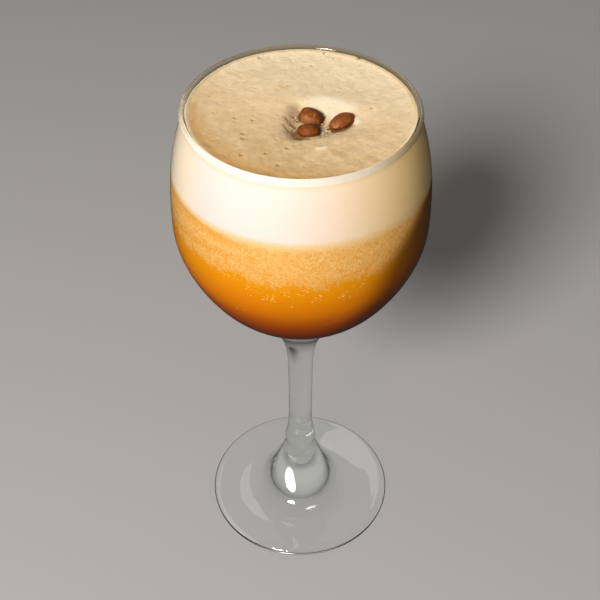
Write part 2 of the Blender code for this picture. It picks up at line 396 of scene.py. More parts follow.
@dataclass(frozen=True)
class AmberDrink:
    """Cloudy amber drink, painted darker downwards as shade, with a ragged layer of fine pale bubbles at
    its top.
    """

    name: str
    # bottom and the steps by height: deeper amber, its darkening downwards painted shade of the light that
    # fades in the deep drink
    bottom: Rgb = (0.15, 0.024, 0.001)
    painted_depth_shades: tuple[tuple[float, float, Rgb], ...] = (
        (117.0, 130.0, (0.36, 0.058, 0.0005)), (126.0, 139.0, (0.57, 0.162, 0.001)),
        (137.0, 150.0, (0.62, 0.235, 0.003)))
    # clear: dark colour of the painted shade on the side away from the key light
    clear: Rgb = (0.065, 0.013, 0.001)
    bubble: Rgb = (0.72, 0.475, 0.190)
    painted_highlight: Rgb = (0.84, 0.54, 0.23)
    gap: Rgb = (0.46, 0.200, 0.015)
    seam: Rgb = (0.68, 0.43, 0.185)
    foam_line: float = 162.0
    band_foot: float = 148.2
    raggedness: float = 9.0
    strip_level: float = 160.4
    streak_level: float = 157.2
    left: tuple[float, float] = (-0.5, -0.65)
    far_left: tuple[float, float] = (-1.15, -1.0)
    thick_heights: tuple[float, float] = (147.0, 158.0)
    gap_share: float = 0.38
    highlight_share: float = 0.26
    shade_share: float = 0.75
    coarse_cells: float = 1.05
    fine_cells: float = 2.0
    fray: Grain = Grain(0.42, 4.0, 0.65)
    drift: Grain = Grain(0.10, 2.0)
    murk: Grain = Grain(0.75, 3.0, 0.6)
    hollows: Grain = Grain(1.3, 3.0, 0.7)
    gaps: Grain = Grain(0.30, 3.0, 0.6, stretch=(1.0, 1.0, 2.2))

    def material(self) -> bpy.types.Material:
        """Amber by height, painted darker downwards as shade and on the side away from the key light, with
        the cloud of bubbles over it.
        """
        paint = Paint(self.name)
        x, y, z = paint.axes(paint.place())
        around = paint.math("ARCTAN2", x, -y)
        ragged = paint.noise(self.fray) - 0.5
        # amber by height, painted darker downwards as shade
        amber = paint.coats(self.bottom, *((z.step(low, high), shade) for low, high, shade in self.painted_depth_shades))
        density = self.cloud(paint, around, z, ragged)
        shown = self.bubbles(paint, density)
        murk = paint.noise(self.murk).step(0.35, 0.68)
        mixed = density * (0.40 + 0.18 * murk) * (0.72 + 0.28 * z.step(*self.thick_heights))
        hollows = paint.noise(self.hollows).step(0.54, 0.38)
        near_foam = (z + ragged * 2.4).step(self.foam_line - 2.0, self.foam_line + 0.1)
        colour = paint.coats(
            amber, (mixed, self.bubble), (hollows * density * self.gap_share, self.gap),
            # painted highlight on single bubbles, over the real pale bubble colour
            (shown * density.step(0.0, 0.3) * self.highlight_share, self.painted_highlight),
            # painted shade on the side away from the key light
            (painted_shade_side(around, z) * self.shade_share, self.clear),
            (near_foam * (1.0 - 0.7 * around.step(-0.5, -0.8)), self.seam))
        return paint.finish(paint.principled({
            "Base Color": colour, "Roughness": 0.4, "Specular IOR Level": 0.0,
            "Normal": paint.bump(shown, 0.10, 0.4)}))

    def cloud(self, paint: Paint, around: Socket, z: Socket, ragged: Socket) -> Socket:
        """How thick the bubbles lie: a ragged layer with gaps, two golden strips and a streak at the left.

        Args:
            paint: The material's tree.
            around: Angle from the viewer's side, in radians, to the right.
            z: Height in millimetres.
            ragged: Noise round nought that frays the edges.

        Returns:
            The thickness, between 0 and 1.
        """
        drift = paint.noise(self.drift) - 0.5
        level = z + drift * self.raggedness + ragged * self.raggedness
        layer = level.step(self.band_foot - 1.2, self.band_foot + 2.6)
        strip = (z + around * 2.6).bell(self.strip_level, 2.6) * around.step(-0.30, -0.70)
        lower_strip = (z - around * 4.0 + ragged * 3.0).bell(self.streak_level, 1.0)
        lower_strip = lower_strip * around.step(-0.35, -0.6)
        gaps = paint.noise(self.gaps).step(0.56, 0.66) * 0.55
        layer = layer * (1.0 - 0.9 * strip) * (1.0 - 0.6 * lower_strip) * (1.0 - gaps)
        at_left = around.step(*self.left) * around.step(*self.far_left)
        streak = (z + around * 1.4).bell(self.streak_level, 0.8) * at_left
        # fewer bubbles show where the drink is painted in shade
        return paint.math("MAXIMUM", layer, streak) * (1.0 - painted_shade_side(around, z) * 0.85)

    def bubbles(self, paint: Paint, density: Socket) -> Socket:
        """Single bubbles in two sizes: discs in the cells whose random number is under the density.

        Args:
            paint: The material's tree.
            density: How thick the bubbles lie.

        Returns:
            Where a bubble shows, between 0 and 1.
        """
        coarse, coarse_pick = paint.cells(self.coarse_cells)
        fine, fine_pick = paint.cells(self.fine_cells)
        coarse_bubble = coarse.step(0.46, 0.28) * (coarse_pick - density * 0.75).step(0.05, -0.05)
        fine_bubble = fine.step(0.55, 0.35) * (fine_pick - density * 0.90).step(0.05, -0.05)
        return paint.math("MAXIMUM", coarse_bubble, fine_bubble * 0.7)


def painted_shade_side(around: Socket, height: Socket) -> Socket:
    """Where the drink is painted in shade, on the side away from the key light: right of the viewer,
    further round the higher it is.

    The edge moves with the square of the height above a turning level, and steadily below it.

    Args:
        around: Angle from the viewer's side, in radians, to the right.
        height: Height in millimetres.

    Returns:
        Share of the painted shade, between 0 and 1.
    """
    above = height.paint.math("MAXIMUM", height - SHADE_LEVEL, 0.0)
    below = height.paint.math("MAXIMUM", SHADE_LEVEL - height, 0.0)
    edge = around - SHADE_CURVE * above * above + 0.012 * below
    return edge.step(0.40, 0.80) * around.step(3.1, 2.3)


@dataclass(frozen=True)
class CreamFoam:
    """Foam: creamy white where it stands against the glass, coffee beige on top."""

    side: Rgb = (0.70, 0.580, 0.530)
    # warm: colour of the painted shade on the side turned from the key light and of the painted shadow line
    # under the rim
    warm: Rgb = (0.74, 0.515, 0.225)
    left: Rgb = (0.76, 0.63, 0.475)
    # colour of the painted light band at the top of the side
    lit_band: Rgb = (0.80, 0.74, 0.68)
    top: Rgb = (0.63, 0.465, 0.265)
    pale: Rgb = (0.745, 0.605, 0.400)
    tan: Rgb = (0.50, 0.335, 0.150)
    stain: Rgb = (0.48, 0.265, 0.080)
    # speck: colour of the burst pits, and of the painted shade in crevices and beside the beans
    speck: Rgb = (0.16, 0.075, 0.022)
    wet: Rgb = (0.69, 0.44, 0.19)
    # bright: colour of the painted light on raised folds of the foam
    bright: Rgb = (0.78, 0.67, 0.51)
    edge: tuple[float, float] = (34.95, 34.5)
    lit_near_border: tuple[float, float] = (33.5, 34.3)
    shaded_far_border: tuple[float, float] = (33.6, 34.6)
    stain_radius: float = 32.5
    faint_radius: float = 30.4
    wet_heights: tuple[float, float] = (164.6, 161.9)
    rim_shadow_height: float = 180.1
    lit_band_heights: tuple[float, float] = (180.6, 181.0)
    fine_cells: float = 1.6
    grain: Grain = Grain(0.9, 3.0, 0.6)
    patches: Grain = Grain(0.16, 3.0, 0.55, warp=0.6)
    flecks: Grain = Grain(0.42, 4.0, 0.65, stretch=(1.0, 1.7, 1.0), warp=0.8)

    def material(self) -> bpy.types.Material:
        """Beige mottled top and a plain pale side, parted at the wall."""
        paint = Paint("cream_foam")
        x, y, z = paint.axes(paint.place())
        radius = (x * x + y * y) ** 0.5
        around = paint.math("ARCTAN2", x, -y)
        grain = paint.noise(self.grain)
        colour = paint.blend(radius.step(*self.edge), self.wall(paint, around, z, grain),
                             self.surface(paint, x, y, radius, around, grain))
        fine, _ = paint.cells(self.fine_cells)
        relief = paint.bump(grain * 0.5 + fine * 0.5, 0.14, 0.3)
        return paint.finish(paint.principled({
            "Base Color": colour, "Roughness": 0.62, "Specular IOR Level": 0.2, "Normal": relief}))

    def surface(self, paint: Paint, x: Socket, y: Socket, radius: Socket, around: Socket,
                grain: Socket) -> Socket:
        """Top: painted lighter towards the far side, flecked, with a golden stain at the left front edge,
        and painted light and shade.

        Args:
            paint: The material's tree.
            x: Place across, in millimetres.
            y: Place along the view.
            radius: Distance from the axis.
            around: Angle from the viewer's side, in radians, to the right.
            grain: Fine noise.

        Returns:
            The colour.
        """
        patches = paint.noise(self.patches)
        flecks = paint.noise(self.flecks)
        # painted light: lighter towards the far side, with random patches and grain mixed in
        light = (x * PAINTED_LIGHT_LEAN + y) / 30.0 + (patches - 0.5) * 1.7 + (grain - 0.5) * 0.7
        # real flecks, weighted darker towards the near side as part of the same painted shade
        dull = flecks.step(0.50, 0.36) * (0.30 + 0.22 * y.step(0.0, -22.0))
        spread = paint.math("MAXIMUM", radius.bell(self.stain_radius, 1.5),
                            radius.bell(self.faint_radius, 2.4) * 0.5)
        ring = spread * around.step(-2.0, -1.4) * around.step(0.45, -0.25)
        front = y.step(8.0, -12.0)
        return paint.coats(
            self.top, (light.step(-0.2, 1.1), self.pale), (light.step(-0.1, -1.2), self.tan),
            (dull, self.tan), (flecks.step(0.55, 0.70) * 0.30, self.pale),
            (ring * (0.85 + (patches - 0.5) * 1.4), self.stain),
            # painted light on the near edge of the top and painted shade on its far edge
            (radius.step(*self.lit_near_border) * front * 0.75, self.pale),
            (radius.step(*self.shaded_far_border) * (1.0 - front) * 0.8, self.tan),
            # the pit mark holds burst pits and painted shade of crevices and bean shadows; the other mark
            # holds painted light on raised folds
            (paint.mark("pit"), self.speck), (paint.mark("painted_light"), self.bright))

    def wall(self, paint: Paint, around: Socket, z: Socket, grain: Socket) -> Socket:
        """Side: creamy white, with painted warm shade on the side turned from the key light and in a line
        under the rim, wet at its lower edge, and a painted light band at its upper one.

        Args:
            paint: The material's tree.
            around: Angle from the viewer's side, in radians, to the right.
            z: Height in millimetres.
            grain: Fine noise.

        Returns:
            The colour.
        """
        # painted shade on the side turned from the key light
        shaded_side = around.step(-0.35, 1.10) * around.step(3.1, 2.2)
        fringe = (z + (grain - 0.5) * 2.0).step(*self.wet_heights)
        return paint.coats(
            self.side, (around.step(-0.80, -1.15), self.left), (shaded_side, self.warm),
            # painted shadow line under the rim, then the painted light band at the top of the side, weaker
            # in the painted shade
            (z.bell(self.rim_shadow_height, 0.55) * 0.35, self.warm),
            (z.step(*self.lit_band_heights) * (1.0 - shaded_side * 0.6), self.lit_band), (fringe, self.wet))


@dataclass(frozen=True)
class RoastedBean:
    """Roasted bean skin."""

    name: str
    base: Rgb
    # dark and light: the roast's mottling, and the colours of the marked painted shade and painted
    # highlights
    dark: Rgb = (0.075, 0.022, 0.005)
    light: Rgb = (0.50, 0.215, 0.085)
    roughness: float = 0.42
    patches: Grain = Grain(0.55, 4.0, 0.6)
    wrinkles: Grain = Grain(2.4, 4.0, 0.6, warp=0.5)

    def material(self) -> bpy.types.Material:
        """Brown mottled with fine wrinkles, darker where the mesh is marked with painted shade, and lighter
        where it is marked with painted highlights and chaff.
        """
        paint = Paint(self.name)
        patches = paint.noise(self.patches)
        wrinkles = paint.noise(self.wrinkles)
        colour = paint.coats(
            self.base, (patches.step(0.50, 0.30) * 0.5, self.dark),
            (patches.step(0.52, 0.72) * 0.25, self.light), (wrinkles.step(0.48, 0.34) * 0.45, self.dark),
            (wrinkles.step(0.56, 0.70) * 0.22, self.light), (paint.mark("dark"), self.dark),
            (paint.mark("light"), self.light))
        relief = paint.bump(wrinkles, 0.16, 0.6)
        return paint.finish(paint.principled({
            "Base Color": colour, "Roughness": self.roughness + (wrinkles - 0.5) * 0.3, "Normal": relief,
            "Specular IOR Level": 0.09}))


@dataclass(frozen=True)
class BubbleSkin:
    """Bubbles in the drink: cream with an orange cast that differs from one to the next."""

    pale: Rgb = (0.72, 0.41, 0.135)
    deep: Rgb = (0.70, 0.31, 0.050)
    brown_shade: Rgb = (0.22, 0.060, 0.010)
    pale_heights: tuple[float, float] = (143.0, 156.0)
    low_shade_heights: tuple[float, float] = (137.0, 128.0)
    grain: Grain = Grain(0.8, 2.0, 0.6)

    def material(self) -> bpy.types.Material:
        """Pale near the foam, deeper below, and darkened as painted shade low down and on the side away
        from the key light.
        """
        paint = Paint("wall_bubble")
        x, y, z = paint.axes(paint.place())
        grain = paint.noise(self.grain)
        pale = z.step(*self.pale_heights) * 0.8 + (grain - 0.5) * 2.0
        # painted shade: darker low down and on the side away from the key light
        clear = painted_shade_side(paint.math("ARCTAN2", x, -y), z) + z.step(*self.low_shade_heights) * 0.5
        colour = paint.coats(self.deep, (pale.step(0.0, 1.0), self.pale), (clear, self.brown_shade))
        return paint.finish(paint.principled({
            "Base Color": colour, "Roughness": 0.4, "Specular IOR Level": 0.1}))


@dataclass(frozen=True)
class PlainFinish:
    """One colour and roughness."""

    name: str
    colour: Rgb
    roughness: float

    def material(self) -> bpy.types.Material:
        """The material."""
        paint = Paint(self.name)
        return paint.finish(paint.principled({"Base Color": self.colour, "Roughness": self.roughness}))


@dataclass(frozen=True)
class Floor:
    """Plain pale floor that shows dark in plain reflections, so that they don't veil the drink."""

    colour: Rgb
    in_mirror: float = 0.08

    def material(self) -> bpy.types.Material:
        """The floor's colour, dim in a plain reflection but not in one that runs through the glass."""
        paint = Paint("floor")
        rays = paint.node("ShaderNodeLightPath")
        dim = tuple(channel * self.in_mirror for channel in self.colour)
        colour = paint.blend(paint.mirrored(rays), self.colour, dim)
        return paint.finish(paint.principled({
            "Base Color": colour, "Roughness": 0.8, "Specular IOR Level": 0.0}))


# Surfaces


def build_mesh(name: str, points: Array, faces: list[Array]) -> bpy.types.Object:
    """Make a smooth object.

    Args:
        name: Name of the object.
        points: Places in millimetres, one row each.
        faces: Arrays of corner numbers, quads or triangles.

    Returns:
        The object, linked to the scene.
    """
    mesh = bpy.data.meshes.new(name)
    corners = [corner for block in faces for corner in block.tolist()]
    mesh.from_pydata((points * MM).tolist(), [], corners)
    mesh.shade_smooth()
    mesh.set_sharp_from_angle(angle=SHARP)
    made = bpy.data.objects.new(name, mesh)
    bpy.context.scene.collection.objects.link(made)
    return made


def store(piece: bpy.types.Object, name: str, values: Array) -> None:
    """Store a number at the first points of a piece, and nought at the rest.

    Args:
        piece: The piece.
        name: Name of the mark.
        values: The numbers, in the order of the points.
    """
    shade = np.zeros(len(piece.data.vertices), dtype=np.float32)
    shade[:values.size] = np.clip(values, 0.0, 1.0).ravel()
    piece.data.attributes.new(name, "FLOAT", "POINT").data.foreach_set("value", shade)


def ring_quads(rows: int, columns: int, first: int = 0) -> Array:
    """Quads between neighbouring rings of points, each ring closed on itself.

    Args:
        rows: Number of rings.
        columns: Points in a ring.
        first: Number of the first point.

    Returns:
        The quads, facing out where the rings rise and run counterclockwise from above.
    """
    row = first + columns * np.arange(rows - 1)[:, None]
    column = np.arange(columns)[None, :]
    after = (column + 1) % columns
    return np.stack((row + column, row + after, row + columns + after, row + columns + column),
                    axis=-1).reshape(-1, 4)


def fan(pole: int, ring: Array, upwards: bool) -> Array:
    """Triangles from a pole to a ring.

    Args:
        pole: Number of the pole.
        ring: Numbers of the ring's points, counterclockwise from above.
        upwards: Whether the fan faces up.

    Returns:
        The triangles.
    """
    after = np.roll(ring, -1)
    pair = (ring, after) if upwards else (after, ring)
    return np.stack((np.full_like(ring, pole), *pair), axis=-1)


def turned(name: str, radius: Array, height: Array, ends: tuple[float, float],
           columns: int) -> bpy.types.Object:
    """Closed surface turned round the axis.

    Each ring has its radius and height as numbers, or as one number for each point of the ring.

    Args:
        name: Name of the object.
        radius: Radii, rings by columns or rings by one.
        height: Heights, in the same form.
        ends: Heights of the two points on the axis, first and last.
        columns: Points in a ring.

    Returns:
        The object.
    """
    rows = len(radius)
    angle = math.tau * np.arange(columns) / columns
    radius = np.broadcast_to(radius, (rows, columns))
    height = np.broadcast_to(height, (rows, columns))
    rings = np.stack((radius * np.cos(angle), radius * np.sin(angle), height), axis=-1).reshape(-1, 3)
    points = np.vstack((rings, ((0.0, 0.0, ends[0]), (0.0, 0.0, ends[1]))))
    first = np.arange(columns)
    faces = [ring_quads(rows, columns), fan(rows * columns, first, False),
             fan(rows * columns + 1, first + (rows - 1) * columns, True)]
    return build_mesh(name, points, faces)


def smooth_line(points: Array, steps: int) -> Array:
    """Catmull-Rom curve through given points.

    Args:
        points: The points, one row each.
        steps: Steps to each span.

    Returns:
        Points of the curve.
    """
    known = np.vstack((2 * points[0] - points[1], points, 2 * points[-1] - points[-2]))
    t = (np.arange(steps) / steps)[None, :, None]
    before, start, end, after = (known[i:len(known) - 3 + i, None] for i in range(4))
    line = 0.5 * (2 * start + (end - before) * t + (2 * before - 5 * start + 4 * end - after) * t ** 2
                  + (3 * start - before - 3 * end + after) * t ** 3)
    return np.vstack((line.reshape(-1, points.shape[1]), points[-1:]))


def arc(centre: tuple[float, float], radii: tuple[float, float], first: float, last: float,
        count: int) -> Array:
    """Points (radius, height) of an arc.

    Args:
        centre: Its centre.
        radii: Its radii across and up.
        first: First angle in degrees.
        last: Last angle.
        count: Number of points.

    Returns:
        The points.
    """
    angle = np.radians(np.linspace(first, last, count))
    return np.stack((centre[0] + radii[0] * np.cos(angle), centre[1] + radii[1] * np.sin(angle)), axis=-1)


def distance_to_line(x: Array, y: Array, points: Array) -> Array:
    """Distance to a chain of straight spans, as the least distance to any of them.

    Args:
        x: Places across.
        y: Places along the view.
        points: The chain's points, one row each.

    Returns:
        Distance for each place.
    """
    away = []
    for (ax, ay), (bx, by) in zip(points, points[1:]):
        dx, dy = bx - ax, by - ay
        share = np.clip(((x - ax) * dx + (y - ay) * dy) / (dx * dx + dy * dy), 0.0, 1.0)
        away.append(np.hypot(x - ax - share * dx, y - ay - share * dy))
    return np.minimum.reduce(away)


@dataclass(frozen=True)
class BowlWall:
    """Wall of the bowl: rounded below its widest level, turning in late above it."""

    radius: float = 41.6
    widest: float = 144.0
    depth: float = 40.75
    cheek: float = 0.44
    waist: float = -2.03
    side: float = 1.2
    base: float = 2.0
    rim_height: float = 183.7
    rim_radius: float = 35.8
    lip: float = 1.0
    upper_curve: float = 2.66
    probe: float = 0.5

    def lower(self, angle: Array) -> Array:
        """Outer wall below the widest level.

        The distance from the widest level's centre runs from the radius to the depth with the sine
        squared of the angle, plus a fullness and a waist that vanish at both ends.

        Args:
            angle: Degrees below the widest level.

        Returns:
            Radius and height for each angle.
        """
        a = np.radians(angle)
        double = np.sin(2 * a) ** 2
        reach = (self.radius + (self.depth - self.radius) * np.sin(a) ** 2
                 + self.cheek * double + self.waist * double * np.cos(2 * a))
        return np.stack((reach * np.cos(a), self.widest - reach * np.sin(a)), axis=-1)

    def upper(self, height: Array) -> Array:
        """Outer radius above the widest level: it shrinks with a power of the height.

        Args:
            height: Heights.

        Returns:
            Radius for each height.
        """
        span = self.rim_height - 2 * self.lip - self.widest
        t = np.clip((height - self.widest) / span, 0.0, 1.0)
        return self.radius - (self.radius - self.rim_radius) * t ** self.upper_curve

    def inner_lower(self, angle: Array, inset: float) -> Array:
        """Inside below the widest level, square in from the outer wall.

        Args:
            angle: Degrees below the widest level.
            inset: Further distance in from the glass.

        Returns:
            Radius and height for each angle.
        """
        run = self.lower(angle - self.probe) - self.lower(angle + self.probe)
        run /= np.hypot(run[:, 0], run[:, 1])[:, None]
        depth = self.side + (self.base - self.side) * np.sin(np.radians(angle)) ** 4 + inset
        return self.lower(angle) + depth[:, None] * np.stack((-run[:, 1], run[:, 0]), axis=-1)

    def inner_upper(self, height: Array, inset: float) -> Array:
        """Inside above the widest level.

        Args:
            height: Heights.
            inset: Further distance in from the glass.

        Returns:
            Radius and height for each height.
        """
        slope = (self.upper(height + self.probe) - self.upper(height - self.probe)) / (2 * self.probe)
        radius = self.upper(height) - (self.side + inset) * np.hypot(1.0, slope)
        return np.stack((radius, height), axis=-1)

    def inside(self, height: Array, inset: float) -> tuple[Array, Array]:
        """Radius of the inside and its slope at any height.

        Args:
            height: Heights.
            inset: Further distance in from the glass.

        Returns:
            Radius, and change of radius with height, for each height.
        """
        line = np.vstack((self.inner_lower(np.arange(90.0, 0.0, -0.5), inset),
                          self.inner_upper(np.linspace(self.widest, self.rim_height, 120), inset)))
        slope = np.gradient(line[:, 0], line[:, 1])
        return np.interp(height, line[:, 1], line[:, 0]), np.interp(height, line[:, 1], slope)


WALL = BowlWall()


# Glass


@dataclass(frozen=True)
class WineGlass:
    """The glass: foot, stem with its small knop, bowl and rolled lip, in one turned piece."""

    columns: int = 224
    foot_radius: float = 35.0
    foot_under: float = 33.6
    foot_round: float = 31.6
    foot_middle: float = 1.5
    foot_crown: float = 1.6
    join_angle: float = 55.0
    steps: int = 6
    foot_top: tuple[tuple[float, float], ...] = (
        (27.0, 3.5), (20.0, 4.6), (15.6, 6.5), (12.9, 9.4), (11.2, 13.0))
    stem: tuple[tuple[float, float], ...] = (
        (9.5, 17.6), (7.9, 22.0), (6.4, 26.2), (5.55, 29.2), (5.8, 32.5), (5.3, 35.6), (4.75, 39.0),
        (4.4, 46.0), (4.45, 62.0), (4.6, 74.0), (5.4, 82.0), (6.9, 87.2), (9.3, 92.2), (12.2, 96.7),
        (15.8, 101.4), (19.4, 105.4))

    def outline(self) -> Array:
        """Radius and height along the glass, from the middle of its underside to the inside's bottom."""
        flat = np.stack((np.linspace(4.0, self.foot_under - 0.3, 6), np.zeros(6)), axis=-1)
        bend = np.vstack((
            arc((self.foot_under, self.foot_middle),
                (self.foot_radius - self.foot_under, self.foot_middle), -90, 0, 10),
            arc((self.foot_round, self.foot_middle),
                (self.foot_radius - self.foot_round, self.foot_crown), 0, 90, 14)[1:]))
        join = WALL.lower(np.array([self.join_angle]))
        stem = smooth_line(np.vstack((bend[-1:], self.foot_top, self.stem, join)), self.steps)[1:]
        below = WALL.lower(np.arange(self.join_angle - 2.0, 0.5, -2.0))
        heights = np.linspace(WALL.widest, WALL.rim_height - WALL.lip - 0.8, 28)
        above = np.stack((WALL.upper(heights), heights), axis=-1)
        lip = arc((WALL.rim_radius, WALL.rim_height - WALL.lip), (WALL.lip, WALL.lip), -40, 180, 20)
        inside = WALL.inner_upper(np.linspace(WALL.rim_height - 2.7, WALL.widest, 26), 0.0)
        bottom = WALL.inner_lower(np.append(np.arange(3.0, 88.0, 3.0), (88.5,)), 0.0)
        return np.vstack((flat, bend, stem, below, above, lip, inside, bottom))

    def build(self) -> bpy.types.Object:
        """Turn the outline and dress it."""
        line = self.outline()
        floor = WALL.inner_lower(np.array([90.0]), 0.0)[0, 1]
        piece = turned("glass", line[:, :1], line[:, 1:], (0.0, floor), self.columns)
        return settle(piece, ClearGlass().material(), Slot.GLASS, "wine_glass")


# Drink and bubbles


def wave(angle: Array, terms: tuple[tuple[float, int, float], ...]) -> Array:
    """Sum of sines round the axis.

    Args:
        angle: Angles in radians.
        terms: Height, number of waves round and phase of each sine.

    Returns:
        The sum for each angle.
    """
    return sum(height * np.sin(count * angle + phase) for height, count, phase in terms)


BAND_EDGE = ((0.44, 3, 0.6), (0.24, 7, 2.0), (0.12, 13, 0.0))
FOAM_EDGE = ((0.16, 4, 1.1), (0.10, 9, 0.4), (0.07, 23, 2.0), (0.05, 41, 0.9))


@dataclass(frozen=True)
class Drink:
    """Amber drink, in its two layers.

    A flat cap closes each layer: its inner ring lies at a share of the wall's radius, and waves less.
    """

    columns: int = 240
    seam: float = 150.0
    foam_base: float = 162.0
    cap_share: float = 0.6
    cap_wave: float = 0.36

    def build_clear(self) -> bpy.types.Object:
        """Lower layer, from the bottom of the bowl to the seam, which waves round the wall."""
        angle = math.tau * np.arange(self.columns) / self.columns
        below = WALL.inner_lower(np.arange(87.0, 0.5, -2.5), -REACH)
        above = WALL.inner_upper(np.linspace(WALL.widest, self.seam - 2.0, 5), -REACH)
        line = np.vstack((below, above))
        rim = WALL.inner_upper(self.seam + wave(angle, BAND_EDGE), -REACH)
        radius = np.vstack((np.broadcast_to(line[:, :1], (len(line), self.columns)), rim[:, 0],
                            rim[:, 0] * self.cap_share))
        height = np.vstack((np.broadcast_to(line[:, 1:], (len(line), self.columns)), rim[:, 1],
                            self.seam + (rim[:, 1] - self.seam) * self.cap_wave))
        bottom = WALL.inner_lower(np.array([90.0]), -REACH)[0, 1]
        piece = turned("drink", radius, height, (bottom, self.seam), self.columns)
        return settle(piece, AmberDrink("amber_drink").material(), Slot.DRINK, "espresso_drink")

    def build_band(self) -> bpy.types.Object:
        """Upper layer, from the seam to the foam's lower edge."""
        angle = math.tau * np.arange(self.columns) / self.columns
        low = self.seam + wave(angle, BAND_EDGE)
        high = self.foam_base + wave(angle, FOAM_EDGE)
        share = np.linspace(0.0, 1.0, 8)[:, None]
        height = low + (high - low) * share
        radius = WALL.inner_upper(height, -REACH)[..., 0]
        radius = np.vstack((radius[:1] * self.cap_share, radius, radius[-1:] - 0.05,
                            radius[-1:] * self.cap_share))
        height = np.vstack((self.seam + (low - self.seam) * self.cap_wave, height, high + 0.25,
                            self.foam_base + (high - self.foam_base) * self.cap_wave))
        piece = turned("bubbly_drink", radius, height, (self.seam, self.foam_base), self.columns)
        return settle(piece, AmberDrink("fine_bubbles").material(), Slot.BUBBLES, "bubble_band")


# Foam


